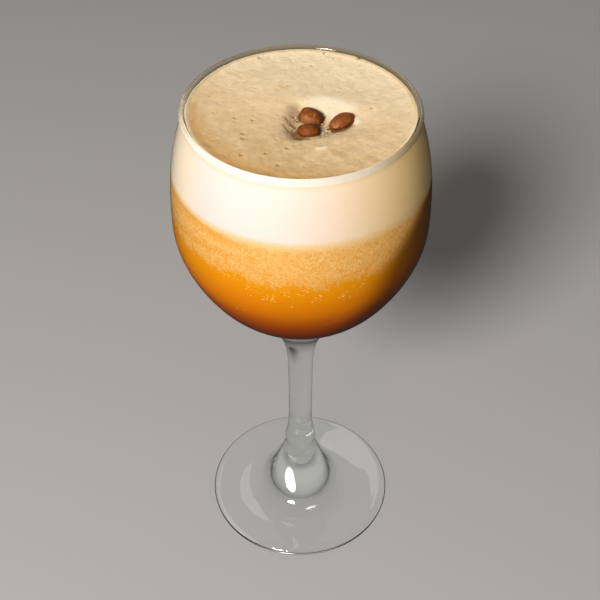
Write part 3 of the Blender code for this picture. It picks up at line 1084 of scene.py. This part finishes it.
@dataclass(frozen=True)
class Foam:
    """Foam head with its uneven top.

    A swell has its height, its turn in radians for each millimetre across and along, and its phase. A
    speck has its place and its size, and a fold its height, width, painted brightness (painted shade below
    nought, painted light above) and line.
    """

    cells: int = 224
    base: float = 162.0
    level: float = 182.0
    cling: float = 0.65
    cling_reach: float = 1.3
    hollow: tuple[float, float] = (5.2, -4.4)
    half_length: float = 11.5
    half_width: float = 9.5
    depth: float = 1.9
    wobble: tuple[tuple[float, int, float], ...] = ((0.10, 2, 0.7), (0.06, 3, 2.0))
    lip: float = 0.35
    lip_reach: float = 1.35
    lip_width: float = 0.42
    swells: tuple[tuple[float, float, float, float], ...] = (
        (0.16, 0.17, 0.11, 1.0), (0.12, 0.13, -0.21, 0.0))
    ripples: int = 36
    ripple_height: float = 0.0015
    near_ripples: float = 0.9
    pores: int = 260
    pore_field: float = 33.5
    pore_depth: float = 0.16
    pore_tone: float = 0.16
    speck_depth: float = 0.5
    speck_tone: float = 0.75
    specks: tuple[tuple[float, float, float], ...] = (
        (-19.8, -2.8, 0.5), (-14.4, -3.9, 0.5), (-17.1, -11.1, 0.6), (-17.0, -13.6, 0.5), (-1.6, -1.7, 0.6),
        (-0.7, 2.6, 0.5), (7.6, -7.4, 0.5), (6.1, -11.0, 0.5), (0.2, -12.5, 0.6), (-13.3, 30.5, 0.5),
        (7.3, 33.1, 0.4), (18.4, 29.5, 0.5), (-17.2, -22.0, 0.5), (-10.1, -21.0, 0.45), (-6.6, -26.3, 0.5),
        (3.4, 26.4, 0.4), (-4.0, -18.0, 0.5), (21.4, 2.2, 0.4))
    folds: tuple[tuple[float, float, float, tuple[tuple[float, float], ...]], ...] = (
        (-0.80, 2.3, -0.58, ((-1.8, 3.4), (-2.3, 0.4), (-2.5, -3.0), (-1.8, -5.6), (-2.8, -8.6),
                             (-1.6, -11.0))),
        (-0.22, 0.5, -0.45, ((-4.6, -1.2), (-3.0, -3.8), (-1.9, -5.2))),
        (-0.20, 0.5, -0.45, ((-5.2, -5.0), (-3.6, -7.8), (-1.6, -9.8))),
        (-0.10, 0.4, -0.32, ((-3.0, 0.2), (-1.7, -1.2), (-0.9, -2.6))),
        (-0.10, 0.4, -0.34, ((-3.0, -6.6), (-2.0, -8.2), (-0.9, -9.4))),
        (-0.35, 0.7, -0.75, ((-1.2, -10.5), (0.4, -11.9), (2.2, -12.4))),
        (-0.50, 1.8, -0.50, ((6.2, -4.6), (8.2, -6.8), (7.0, -9.4))),
        (-0.22, 0.9, -0.35, ((9.6, -8.4), (12.6, -7.8), (15.4, -5.2))),
        (0.16, 2.6, 0.70, ((2.8, 5.8), (7.0, 6.2), (11.0, 4.8), (13.8, 2.6))),
        (0.10, 1.8, 0.55, ((6.8, 2.0), (9.0, 1.2), (9.8, -0.8))),
        (0.15, 1.2, 0.60, ((16.0, -2.6), (16.8, -4.2))),
        (0.22, 1.0, 0.45, ((5.2, -18.6), (7.2, -18.0))),
        (0.12, 0.8, 0.30, ((16.2, -1.6), (17.2, -3.6))))

    def surface(self, x: Array, y: Array) -> Array:
        """Height of the foam.

        The level, less a hollow with a wavy outline round the beans, which fades with e to the minus
        cube of the distance, plus a raised lip behind it, two slow swells that die out at the wall, and
        a climb at the wall.

        Args:
            x: Places across.
            y: Places along the view.

        Returns:
            Height for each place.
        """
        u = (x - self.hollow[0]) / self.half_length
        v = (y - self.hollow[1]) / self.half_width
        angle = np.arctan2(v, u)
        reach = np.hypot(u, v) / (1.0 + wave(angle, self.wobble))
        hollow = -self.depth * np.exp(-reach ** 3)
        behind = np.maximum(np.sin(angle + 0.35), 0.0)
        lip = self.lip * np.exp(-((reach - self.lip_reach) / self.lip_width) ** 2) * behind
        swell = sum(rise * np.sin(across * x + along * y + start)
                    for rise, across, along, start in self.swells)
        radius = np.hypot(x, y)
        inner = WALL.rim_radius - WALL.lip
        climb = self.cling * np.exp(-np.maximum(inner - 0.3 - radius, 0.0) / self.cling_reach)
        fade = np.maximum(1.0 - (radius / WALL.rim_radius) ** 4, 0.0)
        return self.level + hollow + lip + swell * fade + climb

    def relief(self, x: Array, y: Array) -> tuple[Array, Array]:
        """Crevices and folds of the foam round the beans with their painted shade and light, the painted
        shade beside the beans, and fine ripples.

        A fold fades with e to the minus squared distance from its line. The ripples are sines in
        random directions, stronger at the near side.

        Args:
            x: Places across.
            y: Places along the view.

        Returns:
            Height to add and the painted shade and light there, from -1 for painted shade to 1 for painted
            light, for each place.
        """
        rng = np.random.default_rng(11)
        turn = math.tau * rng.random(self.ripples)
        wave_length = 1.8 + 5.5 * rng.random(self.ripples)
        phase = math.tau * rng.random(self.ripples)
        rise, tone = np.zeros_like(x), np.zeros_like(x)
        for a, length, start in zip(turn, wave_length, phase):
            along = x * math.cos(a) + y * math.sin(a)
            rise += self.ripple_height * length * np.sin(math.tau * along / length + start)
        rise *= 1.0 + self.near_ripples * np.clip(-(y + 6.0) / 20.0, 0.0, 1.0)
        # each fold adds relief, with painted shade where its brightness is below nought and painted light
        # where it is above
        for height, width, shade, points in self.folds:
            away = distance_to_line(x, y, np.array(points))
            bell = np.exp(-(away / width) ** 2)
            rise += height * bell
            tone += shade * bell
        for bean in BEANS:
            tone = np.minimum(tone, tone - bean.shadow(x, y))
        return rise, tone

    def pits(self, x: Array, y: Array) -> tuple[Array, Array]:
        """Small pits where bubbles have burst: many random pores, and the larger specks at their places.

        Args:
            x: Places across.
            y: Places along the view.

        Returns:
            Depth of the pits and how dark they are, for each place.
        """
        rng = np.random.default_rng(7)
        radius = self.pore_field * np.sqrt(rng.random(self.pores))
        angle = math.tau * rng.random(self.pores)
        size = 0.22 + 0.30 * rng.random(self.pores) ** 2
        small = np.stack((radius * np.cos(angle), radius * np.sin(angle), size), axis=-1)
        deep, dark = np.zeros_like(x), np.zeros_like(x)
        for spots, depth, tone in ((small, self.pore_depth, self.pore_tone),
                                   (np.array(self.specks), self.speck_depth, self.speck_tone)):
            for px, py, across in spots:
                bell = np.exp(-((x - px) ** 2 + (y - py) ** 2) / across ** 2)
                deep += depth * bell
                dark = np.maximum(dark, tone * bell)
        return deep, dark

    def build(self) -> bpy.types.Object:
        """Foam: a square grid mapped on the disc for the top, and rings down the wall."""
        n = self.cells
        step = np.linspace(-1.0, 1.0, n + 1)
        u, v = np.meshgrid(step, step)
        wide = np.abs(u) > np.abs(v)
        reach = np.where(wide, u, v)
        safe = np.where(np.abs(reach) < 1e-9, 1.0, reach)
        angle = np.where(wide, math.pi / 4 * v / safe, math.pi / 2 - math.pi / 4 * u / safe)
        edge = WALL.rim_radius - WALL.lip + REACH
        x, y = edge * reach * np.cos(angle), edge * reach * np.sin(angle)
        deep, dark = self.pits(x, y)
        rise, tone = self.relief(x, y)
        z = self.surface(x, y) - deep + rise
        top = np.stack((x, y, z), axis=-1).reshape(-1, 3)
        index = np.arange((n + 1) ** 2).reshape(n + 1, n + 1)
        quads = np.stack((index[:-1, :-1], index[:-1, 1:], index[1:, 1:], index[1:, :-1]),
                         axis=-1).reshape(-1, 4)
        border = np.concatenate((index[0, :-1], index[:-1, -1], index[-1, :0:-1], index[:0:-1, 0]))
        around = np.arctan2(top[border, 1], top[border, 0])
        low = self.base + wave(around, FOAM_EDGE)
        share = np.linspace(0.0, 1.0, 15)[:, None]
        height = low + (WALL.rim_height - 2.6 - low) * share
        radius = WALL.inner_upper(height, -REACH)[..., 0]
        side = np.stack((radius * np.cos(around), radius * np.sin(around), height), axis=-1)
        columns, first = len(border), len(top)
        points = np.vstack((top, side.reshape(-1, 3), ((0.0, 0.0, self.base),)))
        last = first + (len(share) - 1) * columns + np.arange(columns)
        seam = np.stack((last, np.roll(last, -1), np.roll(border, -1), border), axis=-1)
        faces = [quads, ring_quads(len(share), columns, first), seam,
                 fan(len(points) - 1, first + np.arange(columns), False)]
        piece = build_mesh("foam", points, faces)
        # pit mark: burst pits with the painted shade of crevices and beside the beans
        store(piece, "pit", np.maximum(dark, -tone))
        store(piece, "painted_light", tone)
        return settle(piece, CreamFoam().material(), Slot.FOAM, "foam_head")


# Loose bubbles


def domes(name: str, centres: Array, normals: Array, sizes: Array, height: float) -> bpy.types.Object:
    """Many small closed domes in one piece.

    Each dome has rings of a half sphere on a flat base, and stands along its normal.

    Args:
        name: Name of the piece.
        centres: Middle of each base.
        normals: Direction of each dome.
        sizes: Radius of each dome.
        height: Height of a dome as a share of its radius.

    Returns:
        The piece.
    """
    columns, lean = 8, np.radians(np.array((0.0, 28.0, 58.0)))
    angle = math.tau * np.arange(columns) / columns
    rings = np.stack(np.broadcast_arrays(
        np.cos(lean)[:, None] * np.cos(angle), np.cos(lean)[:, None] * np.sin(angle),
        height * np.sin(lean)[:, None]), axis=-1).reshape(-1, 3)
    template = np.vstack((rings, ((0.0, 0.0, 0.0), (0.0, 0.0, height))))
    first = np.arange(columns)
    helper = np.where(np.abs(normals[:, 2:]) < 0.9, (0.0, 0.0, 1.0), (1.0, 0.0, 0.0))
    across = np.cross(helper, normals)
    across /= np.linalg.norm(across, axis=1)[:, None]
    frame = np.stack((across, np.cross(normals, across), normals), axis=1)
    points = centres[:, None] + sizes[:, None, None] * np.einsum("tk,nkc->ntc", template, frame)
    start = len(template) * np.arange(len(centres))[:, None, None]
    quads = (start + ring_quads(3, columns)).reshape(-1, 4)
    caps = np.concatenate((fan(3 * columns, first, False), fan(3 * columns + 1, first + 2 * columns, True)))
    return build_mesh(name, points.reshape(-1, 3), [quads, (start + caps).reshape(-1, 3)])


@dataclass(frozen=True)
class Bubbles:
    """Loose bubbles: in the drink against the glass, and on the foam.

    A clump's width is in radians round the wall, and its depth in millimetres up it.
    """

    clumps: int = 250
    clump_size: int = 7
    clump_foot: float = 147.6
    clump_rise: float = 13.6
    clump_width: float = 0.035
    clump_depth: float = 0.8
    even: int = 900
    even_foot: float = 148.5
    even_rise: float = 12.5
    strays: int = 60
    stray_top: float = 146.5
    stray_drop: float = 14.0
    streak: int = 60
    streak_level: float = 157.6
    streak_span: tuple[float, float] = (-1.05, -0.5)
    trail: int = 40
    trail_foot: float = 128.5
    trail_rise: float = 13.0
    trail_span: tuple[float, float] = (0.15, 0.62)
    ceiling: float = 161.4
    smallest: float = 0.13
    size_range: float = 0.21
    far_edge: int = 420
    far_turn: tuple[float, float] = (-0.3, 3.4)
    far_radius: float = 34.3
    far_width: float = 3.2
    scattered: int = 120
    scatter_radius: float = 33.0
    by_beans: int = 54
    by_beans_place: tuple[float, float] = (7.3, -6.8)
    by_beans_spread: tuple[float, float] = (1.3, 1.8)
    left_of_beans: int = 26
    left_place: tuple[float, float] = (-2.6, -3.0)
    left_spread: tuple[float, float] = (1.0, 3.2)
    seed: int = 21
    tufts: tuple[tuple[float, float], ...] = (
        (-5.6, 144.9), (1.7, 147.0), (-12.8, 142.6), (7.9, 143.4), (-21.0, 145.2), (18.7, 142.4),
        (-30.0, 147.0), (26.0, 146.0), (12.0, 146.5), (-9.0, 147.5), (-38.0, 148.5))

    def build_wall(self) -> bpy.types.Object:
        """Bubbles in the drink: clumps and an even spread under the foam, strays below, a streak, a trail.

        Left of the viewer a strip is kept free, and so is the side at the right where the drink is painted
        in shade.

        Returns:
            The piece.
        """
        rng = np.random.default_rng(self.seed)
        middle = math.tau * rng.random(self.clumps) - math.pi
        centre_z = self.clump_foot + self.clump_rise * rng.random(self.clumps)
        tufts = np.radians(np.array(self.tufts)[:, 0])
        middle = np.concatenate((middle, np.repeat(tufts, 2)))
        centre_z = np.concatenate((centre_z, np.repeat(np.array(self.tufts)[:, 1], 2)))
        count = len(middle) * self.clump_size
        angle = np.repeat(middle, self.clump_size) + self.clump_width * rng.standard_normal(count)
        height = np.repeat(centre_z, self.clump_size) + self.clump_depth * rng.standard_normal(count)
        streak = np.linspace(*self.streak_span, self.streak)
        trail = np.linspace(*self.trail_span, self.trail)
        angle = np.concatenate((
            angle, math.tau * rng.random(self.even + self.strays) - math.pi, streak, trail))
        height = np.concatenate((
            height, self.even_foot + self.even_rise * rng.random(self.even),
            self.stray_top - self.stray_drop * rng.random(self.strays) ** 1.3,
            self.streak_level - 0.9 * (streak + 0.8) + 0.5 * rng.standard_normal(self.streak),
            self.trail_foot + self.trail_rise * (trail - self.trail_span[0])
            + 0.4 * rng.standard_normal(self.trail)))
        sizes = self.smallest + self.size_range * rng.random(len(angle)) ** 1.6
        sizes[-self.trail:] *= 0.75
        strip = (np.abs(height + 3.4 * angle - self.streak_level) < 1.8) & (angle < -0.5) & (angle > -1.6)
        strip[-self.streak - self.trail:] = False
        # no bubbles where the drink is painted in shade
        edge = 0.52 + SHADE_CURVE * np.maximum(height - SHADE_LEVEL, 0.0) ** 2
        right = (angle > edge + 0.1 * rng.standard_normal(len(angle))) & (angle < 2.6)
        keep = ~strip & ~right & (height < self.ceiling)
        angle, height, sizes = angle[keep], height[keep], sizes[keep]
        radius, slope = WALL.inside(height, -REACH)
        length = np.hypot(1.0, slope)
        normals = np.stack((np.sin(angle) / length, -np.cos(angle) / length, -slope / length), axis=-1)
        centres = np.stack((radius * np.sin(angle), -radius * np.cos(angle), height), axis=-1)
        piece = domes("wall_bubbles", centres - 0.03 * normals, normals, sizes, 0.32)
        return settle(piece, BubbleSkin().material(), Slot.BUBBLES)

    def build_foam(self, foam: Foam) -> bpy.types.Object:
        """Bubbles on the foam: fine along the far edge, coarser round the beans.

        Args:
            foam: The foam that they lie on.

        Returns:
            The piece.
        """
        rng = np.random.default_rng(self.seed + 1)
        edge_angle = rng.uniform(*self.far_turn, self.far_edge)
        edge_radius = self.far_radius - self.far_width * rng.random(self.far_edge) ** 1.6
        spread = self.scatter_radius * np.sqrt(rng.random(self.scattered))
        spread_angle = math.tau * rng.random(self.scattered)
        near = rng.normal(0.0, 1.0, (self.by_beans, 2)) * self.by_beans_spread + self.by_beans_place
        left = rng.normal(0.0, 1.0, (self.left_of_beans, 2)) * self.left_spread + self.left_place
        radius = np.concatenate((edge_radius, spread))
        angle = np.concatenate((edge_angle, spread_angle))
        x = np.concatenate((radius * np.cos(angle), near[:, 0], left[:, 0]))
        y = np.concatenate((radius * np.sin(angle), near[:, 1], left[:, 1]))
        sizes = np.concatenate([least + more * rng.random(count) for least, more, count in (
            (0.13, 0.13, self.far_edge), (0.12, 0.14, self.scattered), (0.18, 0.20, self.by_beans),
            (0.15, 0.16, self.left_of_beans))])
        z = foam.surface(x, y) + foam.relief(x, y)[0]
        centres = np.stack((x, y, z - 0.05), axis=-1)
        normals = np.tile((0.0, 0.0, 1.0), (len(x), 1))
        piece = domes("foam_bubbles", centres, normals, sizes, 0.45)
        return settle(piece, PlainFinish("foam_bubble", (0.52, 0.385, 0.23), 0.45).material(), Slot.FOAM)


# Beans


@dataclass(frozen=True)
class Bean:
    """One roasted bean: sizes, shape of its ends, and its place on the foam."""

    node: str
    length: float
    width: float
    height: float
    fullness: float
    centre: tuple[float, float, float]
    turn: tuple[float, float, float]
    finish: RoastedBean
    seed: int
    shade: tuple[float, float, float] = (0.0, 0.0, 1.0)
    sheen: float = 0.0
    lines: tuple[tuple[float, float, float], ...] = ()
    chaff: tuple[float, float] | None = None
    crown: float = 0.56
    flatness: float = 0.7
    crease: float = 0.6
    crease_width: float = 0.12
    rows: int = 64
    columns: int = 96
    lumps: int = 14
    lump_height: float = 0.012
    fleck_radius: float = 0.17
    fleck_width: float = 0.04
    sheen_place: tuple[float, float] = (-0.10, -0.80)
    sheen_size: tuple[float, float] = (0.5, 0.22)

    def build(self) -> bpy.types.Object:
        """Bean as a rounded form along X: crowned back, flatter face with a crease below."""
        rows, columns = self.rows, self.columns
        lean = np.linspace(0.0, math.pi, rows + 2)[1:-1, None]
        angle = math.tau * np.arange(columns)[None, :] / columns
        slim = np.sin(lean) ** self.fullness
        along = -np.cos(lean) * np.ones_like(angle)
        side, up = slim * np.cos(angle), slim * np.sin(angle)
        rng = np.random.default_rng(self.seed)
        lump = sum(self.lump_height * np.sin(k[0] * along + k[1] * side + k[2] * up + k[3])
                   for k in rng.normal(0.0, 4.5, (self.lumps, 4)))
        tall = np.where(up > 0, up * self.crown, -np.abs(up) ** self.flatness * (1 - self.crown))
        groove = self.crease * np.exp(-(side / self.crease_width) ** 2) * (1 - along ** 2)
        dark, light = self.tones(along, side, up)
        scale = 1.0 + lump - 0.05 * np.clip(dark - self.painted_shading(along, side), 0.0, 1.0)
        x = along * self.length / 2 * scale
        y = side * self.width / 2 * scale
        z = tall * self.height * scale + np.where(up < 0, groove * np.minimum(-up * 3, 1.0), 0.0)
        body = np.stack((x, y, z), axis=-1).reshape(-1, 3)
        ends = np.array(((-self.length / 2, 0.0, 0.0), (self.length / 2, 0.0, 0.0)))
        matrix = np.array(Euler([math.radians(a) for a in self.turn], "XYZ").to_matrix())
        points = np.vstack((body, ends)) @ matrix.T + np.array(self.centre)
        faces = [ring_quads(rows, columns), fan(rows * columns, np.arange(columns), False),
                 fan(rows * columns + 1, (rows - 1) * columns + np.arange(columns), True)]
        piece = build_mesh(self.node.replace("coffee_", ""), points, faces)
        # painted shade on the underside of the bean
        underside = 0.85 / (1.0 + np.exp(14.0 * up))
        store(piece, "dark", np.maximum(dark, underside))
        store(piece, "light", light)
        return settle(piece, self.finish.material(), Slot.BEAN, self.node)

    def shadow(self, x: Array, y: Array) -> Array:
        """Shade on the foam beside the bean: a bell of the distance from its outline.

        Args:
            x: Places across.
            y: Places along the view.

        Returns:
            Darkness for each place.
        """
        turn = math.radians(self.turn[2])
        dx, dy = x - self.centre[0], y - self.centre[1]
        along = (dx * math.cos(turn) + dy * math.sin(turn)) / (self.length / 2)
        side = (dy * math.cos(turn) - dx * math.sin(turn)) / (self.width / 2)
        return 0.85 * np.exp(-((np.hypot(along, side) - 0.95) / 0.20) ** 2)

    def painted_shading(self, along: Array, side: Array) -> Array:
        """Painted shade: darkness that rises steadily over the bean in one direction.

        Args:
            along: Places along the bean, from -1 to 1.
            side: Places across it, from -1 to 1.

        Returns:
            Darkness, between 0 and 1, for each place.
        """
        return np.clip((self.shade[0] * along + self.shade[1] * side - self.shade[2]) * 1.6, 0.0, 0.85)

    def tones(self, along: Array, side: Array, up: Array) -> tuple[Array, Array]:
        """Dark lines painted as shade in shallow creases with a painted highlight beside each, a painted
        sheen in front, and a curved fleck of chaff.

        Args:
            along: Places along the bean, from -1 to 1.
            side: Places across it, from -1 to 1.
            up: Places above and below its middle, from -1 to 1.

        Returns:
            Darkness and lightness, between 0 and 1, for each place.
        """
        dark, light = self.painted_shading(along, side), np.zeros_like(along)
        for place, bend, width in self.lines:
            away = along - place + bend * side ** 2
            near = 1.0 / (1.0 + np.exp(12.0 * (side + 0.1)))
            dark = np.maximum(dark, 0.9 * near * np.exp(-(away / width) ** 2))
            light = np.maximum(light, 0.45 * near * np.exp(-((away + 1.9 * width) / width) ** 2))
        u = (along - self.sheen_place[0]) / self.sheen_size[0]
        v = (side - self.sheen_place[1]) / self.sheen_size[1]
        light = np.maximum(light, self.sheen * np.exp(-u ** 2 - v ** 2) * (up > -0.2))
        if self.chaff:
            reach = np.hypot(along - self.chaff[0], (side - self.chaff[1]) * 0.7)
            crescent = (up > 0) * (along < self.chaff[0] + 0.03)
            fleck = np.exp(-((reach - self.fleck_radius) / self.fleck_width) ** 2) * crescent
            light = np.maximum(light, 0.6 * fleck)
        return dark, light


# shade, sheen and lines set each bean's painted shade and painted highlights
BEANS = (
    Bean("coffee_bean_1", 7.8, 6.1, 4.4, 0.94, (2.98, -1.32, 181.0), (10.0, 4.0, -30.0),
         RoastedBean("roast_1", (0.166, 0.042, 0.003), roughness=0.42), 3,
         shade=(0.70, 1.05, -0.10), sheen=0.42, lines=((0.50, -0.35, 0.05),)),
    Bean("coffee_bean_2", 7.2, 5.5, 3.8, 1.32, (2.20, -8.43, 181.0), (-8.0, -3.0, -7.0),
         RoastedBean("roast_2", (0.140, 0.031, 0.001), roughness=0.48), 5,
         shade=(0.85, 0.95, -0.16), sheen=0.12),
    Bean("coffee_bean_3", 9.4, 5.9, 3.7, 1.02, (12.14, -3.77, 181.2), (-12.0, 2.0, 50.0),
         RoastedBean("roast_3", (0.225, 0.062, 0.014), roughness=0.60), 8,
         shade=(0.80, 0.65, 0.25), chaff=(-0.78, -0.26)))


# Stage


@dataclass(frozen=True)
class Studio:
    """Pale floor, soft key light from the left front, even fill, and the camera of the photo."""

    floor_size: float = 8.0
    floor_drop: float = 0.0002
    floor_colour: Rgb = (0.36, 0.355, 0.35)
    aim: float = 0.12
    lamp_colour: Rgb = (1.0, 0.97, 0.93)
    key_side: float = -25.0
    key_rise: float = 38.0
    key_distance: float = 1.2
    key_size: tuple[float, float] = (0.35, 0.35)
    key_power: float = 22.8
    back_side: float = 166.0
    back_rise: float = 33.0
    back_distance: float = 1.8
    back_size: tuple[float, float] = (0.38, 1.4)
    back_power: float = 2.2
    fill: float = 0.08
    back_fill: float = 0.40
    camera_place: tuple[float, float, float] = (-0.226, -283.09, 371.26)
    camera_tilt: float = 46.68
    camera_roll: float = 0.15
    lens: float = 67.05

    def build(self) -> None:
        """Set the stage."""
        half = self.floor_size / 2
        mesh = bpy.data.meshes.new("floor")
        corners = [(x * half, y * half, -self.floor_drop) for x, y in ((-1, -1), (1, -1), (1, 1), (-1, 1))]
        mesh.from_pydata(corners, [], [(0, 1, 2, 3)])
        floor = bpy.data.objects.new("floor", mesh)
        bpy.context.scene.collection.objects.link(floor)
        mesh.materials.append(Floor(self.floor_colour).material())
        self.light()
        self.camera()

    def panel(self, name: str, side: float, rise: float, distance: float,
              size: tuple[float, float], power: float) -> None:
        """Soft light that faces the glass.

        Args:
            name: Name of the light.
            side: Degrees to the right of the camera's side.
            rise: Degrees above the floor.
            distance: Metres from the glass.
            size: Width and height in metres.
            power: Watts.
        """
        side, rise = math.radians(side), math.radians(rise)
        away = Vector((math.sin(side) * math.cos(rise), -math.cos(side) * math.cos(rise), math.sin(rise)))
        lamp = bpy.data.lights.new(name, "AREA")
        lamp.shape = "ELLIPSE"
        lamp.size, lamp.size_y = size
        lamp.energy = power
        lamp.color = self.lamp_colour
        made = bpy.data.objects.new(name, lamp)
        made.location = away * distance + Vector((0.0, 0.0, self.aim))
        made.rotation_euler = away.to_track_quat("Z", "Y").to_euler()
        bpy.context.scene.collection.objects.link(made)

    def light(self) -> None:
        """Key light, soft light from behind, and a plain fill that is brighter behind than in front."""
        self.panel("key", self.key_side, self.key_rise, self.key_distance, self.key_size, self.key_power)
        self.panel("back", self.back_side, self.back_rise, self.back_distance, self.back_size,
                   self.back_power)
        world = bpy.data.worlds.new("world")
        world.use_nodes = True
        sky = Nodes(world.node_tree)
        _, behind, above = sky.axes(Socket(sky, sky.node("ShaderNodeTexCoord").outputs["Generated"]))
        strength = self.fill + self.back_fill * behind.step(0.0, 0.8) * above.step(-0.2, 0.4)
        light = sky.node("ShaderNodeBackground", {}, {"Color": (1.0, 0.98, 0.95), "Strength": strength})
        sky.node("ShaderNodeOutputWorld", {}, {"Surface": light.outputs[0]})
        bpy.context.scene.world = world

    def camera(self) -> None:
        """Camera as fitted to the photo."""
        data = bpy.data.cameras.new("camera")
        data.lens = self.lens
        data.sensor_width = 36.0
        data.clip_start = 0.01
        made = bpy.data.objects.new("camera", data)
        bpy.context.scene.collection.objects.link(made)
        made.matrix_world = (Matrix.Translation(Vector(self.camera_place) * MM)
                             @ Matrix.Rotation(math.radians(self.camera_tilt), 4, "X")
                             @ Matrix.Rotation(math.radians(self.camera_roll), 4, "Z"))
        bpy.context.scene.camera = made


def settle(piece: bpy.types.Object, finish: bpy.types.Material, slot: Slot,
           *nodes: str) -> bpy.types.Object:
    """Dress a piece and tie it to the frame.

    Args:
        piece: The piece.
        finish: Its material.
        slot: The record's slot; not used.
        nodes: CAD nodes that it stands for.

    Returns:
        The piece.
    """
    piece.data.materials.append(finish)
    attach(piece, "root")
    if nodes:
        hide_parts(*nodes)
    return piece


def report(piece: bpy.types.Object) -> None:
    """Log a piece and how many faces it has."""
    LOG.info("%s: %d faces", piece.name, len(piece.data.polygons))


def main() -> None:
    """Build every piece in order and set the stage."""
    logging.basicConfig(level=logging.INFO, format="%(name)s %(message)s", stream=sys.stdout)
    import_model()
    report(WineGlass().build())
    drink = Drink()
    report(drink.build_clear())
    report(drink.build_band())
    foam = Foam()
    report(foam.build())
    bubbles = Bubbles()
    report(bubbles.build_wall())
    report(bubbles.build_foam(foam))
    for bean in BEANS:
        report(bean.build())
    Studio().build()
    bpy.context.scene.view_settings.view_transform = "Standard"


if __name__ == "__main__":
    main()
